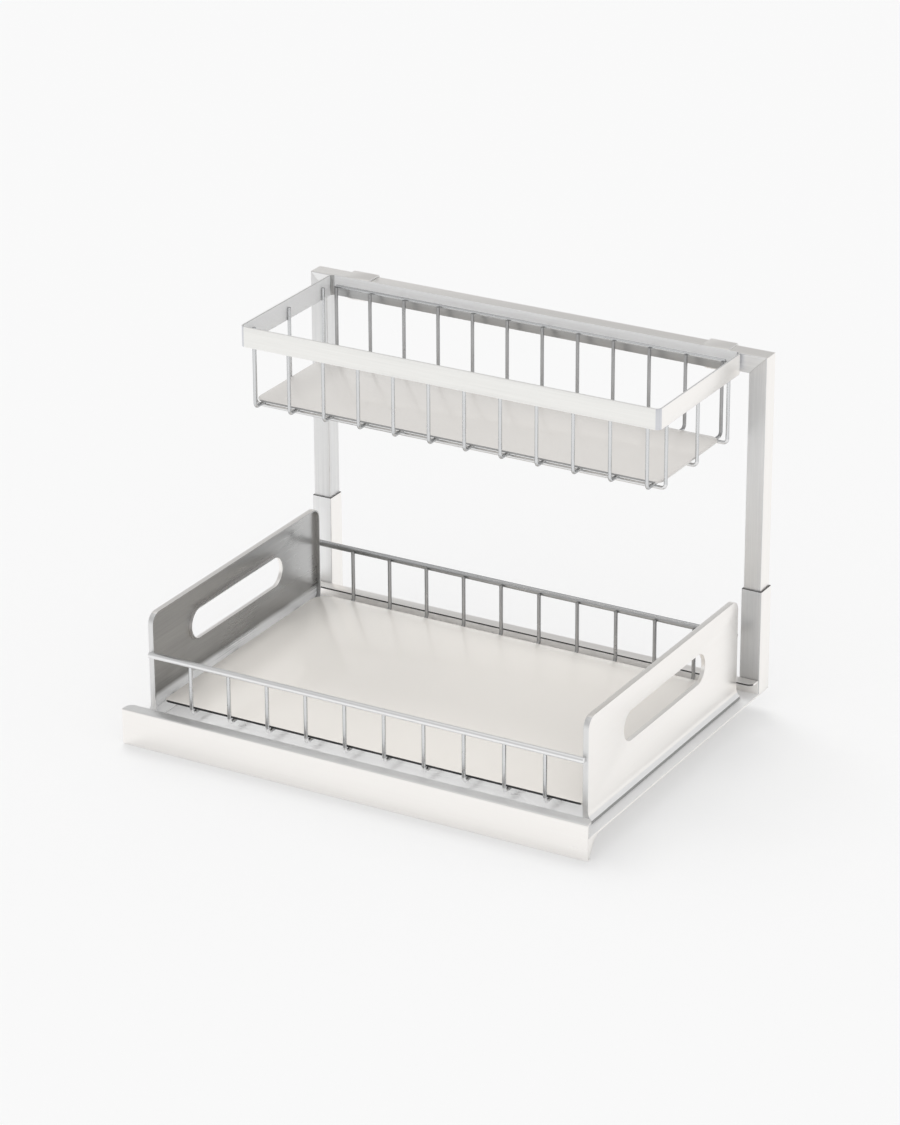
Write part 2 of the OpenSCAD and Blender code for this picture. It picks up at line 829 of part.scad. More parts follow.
place() rubber_pads();
place() front_tie();
place() rear_tie();
place() outer_slide(-1);  // outer_slide_left
place() outer_slide(1);  // outer_slide_right
place() tie_rivets();
place() slide_bumpers();
place() outer_cage(-1);  // outer_cage_left
place() outer_cage(1);  // outer_cage_right
place() balls(-1, outer_ball_x);  // outer_balls_left
place() balls(1, outer_ball_x);  // outer_balls_right
place() middle_slide(-1);  // middle_slide_left
place() middle_slide(1);  // middle_slide_right
place() inner_cage(-1);  // inner_cage_left
place() inner_cage(1);  // inner_cage_right
place() balls(-1, inner_ball_x);  // inner_balls_left
place() balls(1, inner_ball_x);  // inner_balls_right
place() inner_slide(-1);  // inner_slide_left
place() inner_slide(1);  // inner_slide_right
place() tray_rivets();
place() tray_pan();
place() front_fascia();
place() gusset(-1);  // gusset_left
place() gusset(1);  // gusset_right
place() post_sleeve(-1);  // post_sleeve_left
place() post_sleeve(1);  // post_sleeve_right
place() foot_block(-1);  // foot_block_left
place() foot_block(1);  // foot_block_right
place() foot_screws();
place() side_panel(-1);  // side_panel_left
place() side_panel(1);  // side_panel_right
place() front_rail();
place() rear_rail();
place() floor_rods();
place() lower_cross_wires();
place() lower_mat();
place() post(-1);  // post_left
place() post(1);  // post_right
place() crossbar();
place() upper_rim();
place() upper_cross_wires();
place() upper_long_wires();
place() back_top_wire();
place() hook(-1);  // hook_left
place() hook(1);  // hook_right
place() upper_mat();
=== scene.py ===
"""A two-tier pull-out cabinet basket in brushed steel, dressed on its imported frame."""

import math

import bmesh
import bpy
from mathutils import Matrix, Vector


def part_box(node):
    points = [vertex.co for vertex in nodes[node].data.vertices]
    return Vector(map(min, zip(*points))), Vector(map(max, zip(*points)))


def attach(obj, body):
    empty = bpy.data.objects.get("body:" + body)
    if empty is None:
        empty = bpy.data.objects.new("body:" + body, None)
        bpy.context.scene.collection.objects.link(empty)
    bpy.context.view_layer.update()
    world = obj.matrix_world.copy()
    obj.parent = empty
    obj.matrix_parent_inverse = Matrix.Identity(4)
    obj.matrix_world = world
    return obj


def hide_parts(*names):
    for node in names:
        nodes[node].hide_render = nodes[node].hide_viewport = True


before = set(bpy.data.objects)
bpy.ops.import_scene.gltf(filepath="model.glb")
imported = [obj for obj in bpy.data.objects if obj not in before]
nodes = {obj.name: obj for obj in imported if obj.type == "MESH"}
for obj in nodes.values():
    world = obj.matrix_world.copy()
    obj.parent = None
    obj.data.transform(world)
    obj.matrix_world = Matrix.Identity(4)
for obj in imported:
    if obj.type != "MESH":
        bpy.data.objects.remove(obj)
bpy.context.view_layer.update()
MM = 0.001  # the scene is in metres

# ---- Camera, floor and studio light ----
# A long lens looks down on the basket from the right. The floor is a plain matt
# sheet under a broad, soft sky, and the metal mirrors both of them.

CAMERA_PLACE = (1.4762, -2.57285, 1.4263)
CAMERA_TURN = (66.4998, 0.2476, 29.7023)
LENS = 137.11
camera = bpy.data.objects.new("camera", bpy.data.cameras.new("camera"))
bpy.context.scene.collection.objects.link(camera)
camera.location = CAMERA_PLACE
camera.rotation_euler = [math.radians(a) for a in CAMERA_TURN]
camera.data.lens = LENS
camera.data.clip_end = 60
bpy.context.scene.camera = camera
bpy.context.scene.view_settings.view_transform = "Standard"


def wire_up(tree, kind, links=None, **values):
    """Adds a shader node, sets its sockets and joins them to other nodes' outputs."""
    node = tree.nodes.new(kind)
    for key, value in values.items():
        if hasattr(node, key):
            setattr(node, key, value)
        else:
            node.inputs[key.replace("_", " ")].default_value = value
    for socket, source in (links or {}).items():
        tree.links.new(source, node.inputs[socket])
    return node


def largest(tree, first, second):
    """The larger of two values."""
    return wire_up(tree, "ShaderNodeMath", {0: first, 1: second}, operation="MAXIMUM").outputs[0]


def seen_directly(tree):
    """1 for rays from the camera and for mirrored or refracted ones, else 0."""
    ray = wire_up(tree, "ShaderNodeLightPath").outputs
    either = largest(tree, ray["Is Camera Ray"], ray["Is Glossy Ray"])
    return largest(tree, either, ray["Is Transmission Ray"])


def start_material(name):
    """A new material, its emptied node tree and the place on the piece that patterns follow."""
    mat = bpy.data.materials.new(name)
    mat.use_nodes = True
    mat.node_tree.nodes.clear()
    here = wire_up(mat.node_tree, "ShaderNodeTexCoord").outputs["Object"]
    return mat, mat.node_tree, here


# The sky's grey levels as the metal mirrors them, from the horizon at 0 to overhead at 1
MIRRORED_SKY = [(0.0, 0.93), (0.12, 0.80), (0.30, 0.53), (0.50, 0.52), (0.80, 0.60), (0.97, 0.85)]
BACKGROUND = (0.93, 0.93, 0.93, 1)
SKY_LIGHT = 0.68
studio = bpy.data.worlds.new("studio")
bpy.context.scene.world = studio
studio.use_nodes = True
sky = studio.node_tree
sky.nodes.clear()
direction = wire_up(sky, "ShaderNodeTexCoord")
height = wire_up(sky, "ShaderNodeSeparateXYZ", {0: direction.outputs["Generated"]})
ceiling = wire_up(sky, "ShaderNodeValToRGB", {0: height.outputs["Z"]})
for at, level in MIRRORED_SKY[1:-1]:
    ceiling.color_ramp.elements.new(at)
for stop, (at, level) in zip(ceiling.color_ramp.elements, MIRRORED_SKY):
    stop.position = at
    stop.color = (level, level, level, 1)
lit_by = wire_up(sky, "ShaderNodeBackground", Color=(1.0, 1.0, 1.0, 1), Strength=SKY_LIGHT)
mirrored = wire_up(sky, "ShaderNodeBackground", {"Color": ceiling.outputs["Color"]}, Strength=1.0)
plain = wire_up(sky, "ShaderNodeBackground", Color=BACKGROUND, Strength=1.0)
ray = wire_up(sky, "ShaderNodeLightPath").outputs
shown = wire_up(
    sky, "ShaderNodeMixShader", {0: ray["Is Camera Ray"], 1: mirrored.outputs[0], 2: plain.outputs[0]}
)
choice = wire_up(
    sky, "ShaderNodeMixShader", {0: seen_directly(sky), 1: lit_by.outputs[0], 2: shown.outputs[0]}
)
wire_up(sky, "ShaderNodeOutputWorld", {0: choice.outputs[0]})

# Each lamp's name, turn in degrees, strength and spread in degrees
LAMPS = [
    ("key", (-20, -18, 0), 0.94, 30),
    ("fill", (40, 16, 0), 0.38, 70),
]
for name, turn, strength, spread in LAMPS:
    lamp = bpy.data.objects.new(name, bpy.data.lights.new(name, "SUN"))
    bpy.context.scene.collection.objects.link(lamp)
    lamp.rotation_euler = [math.radians(a) for a in turn]
    lamp.data.energy = strength
    lamp.data.angle = math.radians(spread)
    lamp.visible_glossy = False

# Part of the floor's white shines by itself to the eye, so that its shadows stay faint
FLOOR_SIZE = 40
FLOOR_SHINE = 0.42
bpy.ops.object.select_all(action="DESELECT")
bpy.ops.mesh.primitive_plane_add(size=FLOOR_SIZE)
floor = bpy.context.object
floor.name = "floor"
paper, sheet, here = start_material("paper_floor")
tooth = wire_up(sheet, "ShaderNodeTexNoise", {"Vector": here}, Scale=900.0, Detail=2.0)
tone = wire_up(sheet, "ShaderNodeMix", {"Factor": tooth.outputs["Fac"]}, data_type="RGBA")
tone.inputs["A"].default_value = (0.925, 0.925, 0.925, 1)
tone.inputs["B"].default_value = (0.935, 0.935, 0.935, 1)
matt = wire_up(sheet, "ShaderNodeBsdfDiffuse", {"Color": tone.outputs["Result"]})
white = wire_up(sheet, "ShaderNodeEmission", Color=BACKGROUND, Strength=1.0)
shine = wire_up(sheet, "ShaderNodeMath", {0: seen_directly(sheet)}, operation="MULTIPLY")
shine.inputs[1].default_value = FLOOR_SHINE
both = wire_up(
    sheet, "ShaderNodeMixShader", {0: shine.outputs[0], 1: matt.outputs[0], 2: white.outputs[0]}
)
wire_up(sheet, "ShaderNodeOutputMaterial", {0: both.outputs[0]})
floor.data.materials.append(paper)


# ---- Floor frame and slides ----
# Two flat steel ties on rubber pads are screwed to the cabinet floor and carry a pair
# of ball-bearing slides. All of it is folded from zinc-plated strip and riveted.

def blended(tree, factor, a, b):
    """A value that runs from a to b with the factor."""
    mix = wire_up(tree, "ShaderNodeMix", {"Factor": factor})
    mix.inputs["A"].default_value = a
    mix.inputs["B"].default_value = b
    return mix.outputs["Result"]


def colour_mix(tree, factor, dark, light):
    """A colour that runs from dark to light with the factor. Either may come from another node."""
    mix = wire_up(tree, "ShaderNodeMix", {"Factor": factor}, data_type="RGBA")
    for socket, colour in ((mix.inputs[6], dark), (mix.inputs[7], light)):
        if isinstance(colour, tuple):
            socket.default_value = (*colour, 1)
        else:
            tree.links.new(colour, socket)
    return mix.outputs[2]


GRAIN_DEPTH = 0.2 * MM


def finish_material(tree, body, height, strength, depth=GRAIN_DEPTH):
    """Gives the surface its fine relief and joins it to the material's output."""
    relief = wire_up(tree, "ShaderNodeBump", {"Height": height}, Strength=strength, Distance=depth)
    tree.links.new(relief.outputs[0], body.inputs["Normal"])
    wire_up(tree, "ShaderNodeOutputMaterial", {0: body.outputs[0]})


def zinc_plate(name, dark, light):
    """Bright zinc with faint spangle and a thin dull bloom."""
    mat, tree, here = start_material(name)
    spangle = wire_up(tree, "ShaderNodeTexVoronoi", {"Vector": here}, Scale=420.0)
    bloom = wire_up(tree, "ShaderNodeTexNoise", {"Vector": here}, Scale=60.0, Detail=4.0)
    metal = wire_up(tree, "ShaderNodeBsdfPrincipled", Metallic=1.0)
    tree.links.new(colour_mix(tree, spangle.outputs["Color"], dark, light), metal.inputs["Base Color"])
    tree.links.new(blended(tree, bloom.outputs["Fac"], 0.24, 0.5), metal.inputs["Roughness"])
    finish_material(tree, metal, bloom.outputs["Fac"], 0.1)
    return mat


def moulded(name, dark, light, rough, grain, depth, coat=0.0, lets_through=0.0):
    """Plastic or rubber with the fine grain of its mould."""
    mat, tree, here = start_material(name)
    tooth = wire_up(tree, "ShaderNodeTexNoise", {"Vector": here}, Scale=grain, Detail=3.0)
    flow = wire_up(tree, "ShaderNodeTexNoise", {"Vector": here}, Scale=9.0, Detail=2.0)
    body = wire_up(tree, "ShaderNodeBsdfPrincipled", Coat_Weight=coat, Coat_Roughness=0.06)
    tree.links.new(colour_mix(tree, flow.outputs["Fac"], dark, light), body.inputs["Base Color"])
    tree.links.new(blended(tree, tooth.outputs["Fac"], *rough), body.inputs["Roughness"])
    if lets_through:
        # frosted plastic passes part of the light on to what lies below it
        ray = wire_up(tree, "ShaderNodeLightPath").outputs
        passes = largest(tree, ray["Is Shadow Ray"], ray["Is Diffuse Ray"])
        tree.links.new(blended(tree, passes, 1.0, 1.0 - lets_through), body.inputs["Alpha"])
    finish_material(tree, body, tooth.outputs["Fac"], depth)
    return mat


def dress(mat, *names):
    """Gives CAD nodes their material."""
    for name in names:
        nodes[name].data.materials.clear()
        nodes[name].data.materials.append(mat)


zinc = zinc_plate("zinc_plate", (0.50, 0.52, 0.54), (0.66, 0.68, 0.70))
rubber = moulded("black_rubber", (0.030, 0.030, 0.032), (0.050, 0.050, 0.052), (0.62, 0.82), 2600.0, 0.4)
balls = zinc_plate("bearing_ball", (0.80, 0.80, 0.81), (0.86, 0.86, 0.87))
dress(rubber, "rubber_pads", "slide_bumpers")
dress(zinc, "front_tie", "rear_tie", "tie_rivets", "foot_screws")
for side in ("left", "right"):
    for part in ("outer_slide", "middle_slide", "inner_slide", "outer_cage", "inner_cage"):
        dress(zinc, f"{part}_{side}")
    dress(balls, f"outer_balls_{side}", f"inner_balls_{side}")


# ---- Fascia ----
# The tray's front is a folded strip of brushed steel, used as the pull. Its top is
# turned back and rounded, its foot is hemmed, and it is welded to the tray's floor.

def group(name, inputs, outputs):
    """Starts a shared node group with float, vector or colour sockets."""
    tree = bpy.data.node_groups.new(name, "ShaderNodeTree")
    for side, sockets in (("INPUT", inputs), ("OUTPUT", outputs)):
        for label, kind in sockets:
            tree.interface.new_socket(label, in_out=side, socket_type="NodeSocket" + kind)
    return tree, tree.nodes.new("NodeGroupInput"), tree.nodes.new("NodeGroupOutput")


# Fine lines left by the abrasive belt, plus slow clouds of handling
brushing, given, made = group(
    "brushing",
    [("Along", "Vector"), ("Place", "Vector")],
    [("Lines", "Float"), ("Clouds", "Float")],
)
belt_run, place = {"Vector": given.outputs["Along"]}, {"Vector": given.outputs["Place"]}
fine = wire_up(brushing, "ShaderNodeTexNoise", belt_run, Scale=1.0, Detail=3.0, Roughness=0.6)
coarse = wire_up(brushing, "ShaderNodeTexNoise", belt_run, Scale=0.27, Detail=1.0)
mixed = wire_up(brushing, "ShaderNodeMix", {"A": fine.outputs["Fac"], "B": coarse.outputs["Fac"]})
mixed.inputs["Factor"].default_value = 0.4
cloud = wire_up(brushing, "ShaderNodeTexNoise", place, Scale=14.0, Detail=3.0, Roughness=0.55)
for source, mask in ((mixed.outputs["Result"], "Lines"), (cloud.outputs["Fac"], "Clouds")):
    spread = wire_up(brushing, "ShaderNodeMapRange", {"Value": source}, From_Min=0.3, From_Max=0.7)
    brushing.links.new(spread.outputs["Result"], made.inputs[mask])


def brushed_steel(name, lay, dark, light, rough, depth=0.03, metal_part=1.0):
    """Steel sheet, rubbed by an abrasive belt that ran along the axis with the small scale."""
    mat, tree, here = start_material(name)
    along = wire_up(tree, "ShaderNodeMapping", {"Vector": here}, Scale=lay)
    belt = wire_up(tree, "ShaderNodeGroup", {"Along": along.outputs[0], "Place": here}, node_tree=brushing)
    lines, clouds = belt.outputs["Lines"], belt.outputs["Clouds"]
    metal = wire_up(tree, "ShaderNodeBsdfPrincipled", Metallic=metal_part)
    tree.links.new(colour_mix(tree, lines, dark, light), metal.inputs["Base Color"])
    total = wire_up(tree, "ShaderNodeMath", {0: lines, 1: clouds})
    polish = wire_up(tree, "ShaderNodeMath", {0: total.outputs[0]}, operation="MULTIPLY")
    polish.inputs[1].default_value = 0.5
    tree.links.new(blended(tree, polish.outputs[0], rough[1], rough[0]), metal.inputs["Roughness"])
    finish_material(tree, metal, lines, depth)
    return mat


def grey(level, warmth=0.0):
    """A grey, with a little less blue where it is warm."""
    return (level, level, level - warmth)


def start_edit(obj):
    """Opens a piece in edit mode."""
    bpy.ops.object.select_all(action="DESELECT")
    obj.select_set(True)
    bpy.context.view_layer.objects.active = obj
    bpy.ops.object.mode_set(mode="EDIT")


def start_plate(size, middle, turn=(0, 0, 0)):
    """Opens a flat plate in edit mode, all of it selected, turned by degrees and then sized."""
    bpy.ops.object.select_all(action="DESELECT")
    bpy.ops.mesh.primitive_plane_add(size=1, rotation=[math.radians(a) for a in turn])
    bpy.ops.object.transform_apply(location=False, rotation=True, scale=True)
    bpy.ops.object.mode_set(mode="EDIT")
    bpy.ops.mesh.select_all(action="SELECT")
    bpy.ops.transform.resize(value=size)
    bpy.ops.transform.translate(value=middle)


def grip(kind, test, border=False):
    """Selects the faces, edges or vertices of the piece in edit mode whose middle passes the test.

    With border, only edges along the rim of an open sheet are taken.
    """
    mesh = bpy.context.object.data
    bpy.ops.mesh.select_mode(type=kind)
    bpy.ops.mesh.select_all(action="DESELECT")
    bm = bmesh.from_edit_mesh(mesh)
    for part in {"FACE": bm.faces, "EDGE": bm.edges, "VERT": bm.verts}[kind]:
        corners = [part.co] if kind == "VERT" else [v.co for v in part.verts]
        taken = bool(test(sum(corners, Vector()) / len(corners)))
        part.select_set(taken and (not border or part.is_boundary))
    bm.select_flush_mode()
    bmesh.update_edit_mesh(mesh)


def pull(x=0.0, y=0.0, z=0.0):
    """Extrudes what is selected by the given step."""
    bpy.ops.mesh.extrude_region_move(TRANSFORM_OT_translate={"value": (x, y, z)})


def near(a, b, reach=0.05 * MM):
    """Whether two places along an axis are the same, to within the reach."""
    return abs(a - b) < reach


def close_mesh():
    """Merges doubled vertices, turns all faces outwards and leaves edit mode."""
    bpy.ops.mesh.select_all(action="SELECT")
    bpy.ops.mesh.remove_doubles(threshold=0.01 * MM)
    bpy.ops.mesh.normals_make_consistent(inside=False)
    bpy.ops.object.mode_set(mode="OBJECT")


def round_edges(obj, width, segments, sharper_than):
    """Rounds the edges that turn by more than the given degrees."""
    rounded = obj.modifiers.new("rounded", "BEVEL")
    rounded.width = width
    rounded.segments = segments
    rounded.limit_method = "ANGLE"
    rounded.angle_limit = math.radians(sharper_than)
    bpy.ops.object.modifier_apply(modifier="rounded")


def finish_edit(thickness=0.0, ease=0.0):
    """Closes the mesh, gives a sheet its thickness, eases its edges and smooths it."""
    obj = bpy.context.object
    close_mesh()
    if thickness:
        gauge = obj.modifiers.new("gauge", "SOLIDIFY")
        gauge.thickness = thickness
        gauge.offset = -1.0
        gauge.use_even_offset = True
        bpy.ops.object.modifier_apply(modifier="gauge")
    if ease:
        round_edges(obj, ease, 2, 40)
    bpy.ops.object.shade_smooth_by_angle(angle=math.radians(35))
    return obj


def fit(obj, name, body, slot, *stands_for):
    """Names a finished piece, puts it on its body and hides the CAD nodes that it stands for."""
    obj.name = name
    obj.data.name = name
    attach(obj, body)
    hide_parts(*stands_for)


def paint(obj, *mats, by=None):
    """Puts materials on a piece; by(face) picks the number of the one for each face."""
    obj.data.materials.clear()
    for mat in mats:
        obj.data.materials.append(mat)
    if by:
        for face in obj.data.polygons:
            face.material_index = by(face)


ALONG_X, ALONG_Y, ALONG_Z = (25, 2200, 2200), (2200, 25, 2200), (2200, 2200, 25)
STEEL_DARK, STEEL_LIGHT = (0.985, 0.96, 0.932), (1.0, 0.98, 0.952)
SATIN = (0.26, 0.36)
steel_x = brushed_steel("steel_brushed_across", ALONG_X, STEEL_DARK, STEEL_LIGHT, SATIN)
steel_y = brushed_steel("steel_brushed_front_to_back", ALONG_Y, STEEL_DARK, STEEL_LIGHT, SATIN)
steel_z = brushed_steel("steel_brushed_upright", ALONG_Z, STEEL_DARK, STEEL_LIGHT, SATIN)
top_x = brushed_steel("steel_dull_top", ALONG_X, grey(0.94, 0.005), grey(0.96, 0.005), (0.44, 0.52), 0.01)

SHEET = 1.2 * MM
EASE = 0.18 * MM
FOLD_R = 1.2 * MM
HEM_R = 0.9 * MM
HEM = 4.0 * MM
RETURN_INSET = 0.8 * MM
RETURN_CORNER = 5.0 * MM
low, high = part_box("front_fascia")
front, top, foot = low.y, high.z, low.z
start_plate((high.x - low.x, 1, top - foot), (0, front, (top + foot) / 2), (90, 0, 0))
grip("EDGE", lambda m: near(m.z, top))
pull(y=high.y - front)
bpy.ops.transform.resize(value=(1 - RETURN_INSET / high.x, 1, 1), center_override=(0, 0, 0))
grip("VERT", lambda m: near(m.y, high.y))
bpy.ops.mesh.bevel(offset=RETURN_CORNER, segments=6, affect="VERTICES")
grip("EDGE", lambda m: near(m.z, foot))
pull(y=HEM)
grip("EDGE", lambda m: near(m.z, top) and near(m.y, front))
bpy.ops.mesh.bevel(offset=FOLD_R, segments=5, affect="EDGES")
grip("EDGE", lambda m: near(m.z, foot) and near(m.y, front))
bpy.ops.mesh.bevel(offset=HEM_R, segments=4, affect="EDGES")
fascia = finish_edit(SHEET, EASE)
paint(fascia, steel_x, top_x, by=lambda face: int(face.normal.z > 0.5))
fit(fascia, "pull_fascia", "tray", "satin_steel", "front_fascia")


# ---- Gussets ----
# Two small curved gussets of brushed steel are welded in behind the ends of the
# fascia, where they stiffen its joint with the floor.

def eased_copy(node):
    """A copy of a CAD node, made whole, with its sharp edges eased."""
    obj = bpy.data.objects.new(node + "_eased", nodes[node].data.copy())
    bpy.context.scene.collection.objects.link(obj)
    start_edit(obj)
    bpy.ops.mesh.customdata_custom_splitnormals_clear()
    bpy.ops.mesh.select_all(action="SELECT")
    bpy.ops.mesh.remove_doubles(threshold=0.002 * MM)
    bpy.ops.mesh.dissolve_limited(angle_limit=math.radians(0.5))
    bpy.ops.object.mode_set(mode="OBJECT")
    round_edges(obj, EASE, 2, 32)
    bpy.ops.object.shade_smooth_by_angle(angle=math.radians(32))
    return obj


for side in ("left", "right"):
    gusset = eased_copy(f"gusset_{side}")
    paint(gusset, steel_y)
    fit(gusset, f"curved_gusset_{side}", "tray", "satin_steel", f"gusset_{side}")

# ---- Tray floor ----
# One folded sheet with a low rear lip lies on the slides and is riveted to them. The
# floor is blasted, which leaves it paler and duller than the brushed faces.

FLOOR_TOP = 22.0 * MM  # what looks up below this height is the floor
LIP_FOOT = 20.0 * MM
REAR_FOLD_Y = 119.0 * MM
REAR_FOLD = 5.0 * MM
NO_LAY = (900, 900, 900)
blasted = brushed_steel("steel_blasted", NO_LAY, grey(0.93), grey(0.96), (0.50, 0.62), metal_part=0.0)
# near-black painted shadow for the gap under the rear fold's edge
painted_shadow_line = brushed_steel("steel_cut_edge", ALONG_X, grey(0.03), grey(0.05), (0.4, 0.5), metal_part=0.2)


def pan_finish(face):
    """Blasted on the floor, with a painted shadow line along the cut edge of the rear fold."""
    if face.normal.z > 0.9 and face.center.z < FLOOR_TOP:
        return 1
    cut = face.normal.y < -0.3 and REAR_FOLD_Y < face.center.y < REAR_FOLD_Y + REAR_FOLD
    return 2 if cut and face.center.z > LIP_FOOT else 0


dress(blasted, "tray_rivets")
pan = eased_copy("tray_pan")
paint(pan, steel_x, blasted, painted_shadow_line, by=pan_finish)
fit(pan, "folded_tray", "tray", "satin_steel", "tray_pan")

# ---- Post sleeves ----
# Two short square tubes are welded upright on the tray's rear ears. A block of black
# nylon, screwed in from below, fills the foot of each.

SLEEVE_MOUTH_Z = (100.0 * MM, 110.0 * MM)
DULL = (0.42, 0.52)
nylon = moulded("black_nylon", (0.028, 0.028, 0.030), (0.045, 0.045, 0.048), (0.38, 0.5), 1800.0, 0.2)
# lit and shaded copies for the fronts: painted reflection on the left, painted shade on the right
lit_sleeve_front = brushed_steel("steel_sleeve_left", ALONG_Z, grey(0.90), grey(0.97, 0.005), DULL)
shaded_sleeve_front = brushed_steel("steel_sleeve_right", ALONG_Z, grey(0.68), grey(0.76, 0.005), DULL)


def sleeve_finish(face):
    """Rougher towards the front, painted lighter on the left sleeve and painted shade on the right, and a
    painted black shadow gap round the mouth.
    """
    # black nylon round the mouth is a painted shadow gap
    if face.normal.z > 0.9 and SLEEVE_MOUTH_Z[0] < face.center.z < SLEEVE_MOUTH_Z[1]:
        return 2
    return int(face.normal.y < -0.5)


for side, finish in (("left", lit_sleeve_front), ("right", shaded_sleeve_front)):
    sleeve = eased_copy(f"post_sleeve_{side}")
    paint(sleeve, steel_z, finish, nylon, by=sleeve_finish)
    fit(sleeve, f"square_sleeve_{side}", "tray", "satin_steel", f"post_sleeve_{side}")
dress(nylon, "foot_block_left", "foot_block_right")

# ---- Side panels ----
# The ends of the lower basket are pressed panels with turned-in flanges, a flared foot
# and a rolled handle slot. They are brushed outside, with painted shade and reflection inside.

PANEL_CORNER = 9.0 * MM
FLANGE = 4.5 * MM
BEND_R = 1.5 * MM
FLARE_R = 8.0 * MM
FLARE_TURN = 52
FLARE_Z = 28.0 * MM
FLARE_END_Z = FLARE_Z - FLARE_R * math.sin(math.radians(FLARE_TURN))
FOOT = 11.6 * MM
FOOT_BEND = 1.0 * MM
SLOT = (132.0 * MM, 25.0 * MM)
SLOT_Z = 70.0 * MM
SLOT_ROLL = 2.2 * MM
WALL_X = 188.5 * MM
PANEL_MIDDLE = sum(corner.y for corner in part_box("side_panel_right")) / 2

# darker, rougher copy of the upright steel: painted shade on post fronts and panel flanges
shaded_upright = brushed_steel("steel_painted_shade_upright", ALONG_Z, grey(0.78), grey(0.88, 0.005), DULL)
AS_ROLLED = (0.24, 0.36)
# painted shade for the shadow line at the foot and the flange faces turned to the middle
shade_line_steel = brushed_steel(
    "steel_painted_shade_line", ALONG_Y, grey(0.38, 0.002), grey(0.46, 0.002), AS_ROLLED
)
# Heights and depths over which the painted shade inside a panel pales
PALE_Z = (31.0 * MM, 35.0 * MM)
PALE_Y = (20.0 * MM, 115.0 * MM)


def shaded_inside_steel(name, dark, light):
    """Dark painted shade and reflection, paling towards the panel's rear and to painted light by the fold at
    its foot, where it is less metallic.
    """
    mat = brushed_steel(name, ALONG_Y, dark, light, AS_ROLLED)
    tree = mat.node_tree
    metal = next(node for node in tree.nodes if node.type == "BSDF_PRINCIPLED")
    grain = metal.inputs["Base Color"].links[0].from_socket
    here = wire_up(tree, "ShaderNodeTexCoord").outputs["Object"]
    axes = wire_up(tree, "ShaderNodeSeparateXYZ", {0: here}).outputs
    rearward, upward = [
        wire_up(tree, "ShaderNodeMapRange", {"Value": axes[axis]}, From_Min=start, From_Max=end).outputs[0]
        for axis, (start, end) in (("Y", PALE_Y), ("Z", PALE_Z))
    ]
    paler = colour_mix(tree, rearward, grain, grey(0.58, 0.005))
    tree.links.new(colour_mix(tree, upward, grey(0.90, 0.005), paler), metal.inputs["Base Color"])
    tree.links.new(blended(tree, upward, 0.1, 0.95), metal.inputs["Metallic"])
    return mat


# painted shade and reflection for the inside of the panels
painted_inside_shade = shaded_inside_steel("steel_panel_inside_painted_shade", grey(0.30, 0.002), grey(0.37, 0.002))
# Below these heights lie the foot's outer bend and the foot itself
FOOT_BEND_TOP = 21.4 * MM
FOOT_TOP = 24.0 * MM


def panel_finish(face):
    """Brushed outside, painted shade inside, blasted along the flare, with painted shade on the flanges and
    a painted shadow line at the foot.
    """
    inward = -face.normal.x if face.center.x > 0 else face.normal.x
    along = face.center.y - PANEL_MIDDLE
    upright = abs(face.normal.y) > 0.5 and abs(along) > SLOT[0] / 2 + SHEET
    at_foot = inward < -0.3 and face.center.z < FOOT_BEND_TOP
    if at_foot or upright and face.normal.y * along < 0:
        return 4
    if inward > 0.3:
        return 1 if face.center.z > PALE_Z[0] else 2
    if face.center.z < FOOT_TOP and face.normal.z > 0.5:
        return 2
    return 3 if upright else 0


def start_panel(wall, low, high):
    """Opens the wall of a panel as one flat sheet with rounded top corners and its slot cut out."""
    start_plate(
        (1, high.y - low.y, high.z - FLARE_Z), (wall, PANEL_MIDDLE, (high.z + FLARE_Z) / 2), (0, 90, 0)
    )
    grip("VERT", lambda m: near(m.z, high.z))
    bpy.ops.mesh.bevel(offset=PANEL_CORNER, segments=7, affect="VERTICES")
    bpy.ops.mesh.select_all(action="SELECT")
    bpy.ops.mesh.delete(type="ONLY_FACE")
    # the slot's outline is a circle drawn out at both ends
    slot_r, half = SLOT[1] / 2, (SLOT[0] - SLOT[1]) / 2
    reach = slot_r + 0.5 * MM
    bpy.ops.mesh.primitive_circle_add(
        vertices=36, radius=slot_r, location=(wall, PANEL_MIDDLE, SLOT_Z), rotation=(0, math.radians(90), 0)
    )
    for way in (1, -1):
        grip("VERT", lambda m: near(m.z, SLOT_Z, reach) and 0.1 * MM < way * (m.y - PANEL_MIDDLE) < reach)
        bpy.ops.transform.translate(value=(0, way * half, 0))
    bpy.ops.mesh.select_all(action="SELECT")
    bpy.ops.mesh.fill(use_beauty=True)


def on_flange(m, low, high):
    """Whether an open edge of the panel lies above the foot, at the front, the rear or the top."""
    at_end = near(m.y, low.y) or near(m.y, high.y) or m.z > high.z - PANEL_CORNER
    return at_end and m.z > low.z + FOOT_BEND + 0.05 * MM


def on_slot(m):
    """Whether an open edge of the panel lies round its slot."""
    return near(m.z, SLOT_Z, SLOT[1] / 2 + 0.1 * MM) and near(m.y, PANEL_MIDDLE, SLOT[0] / 2 + 0.1 * MM)


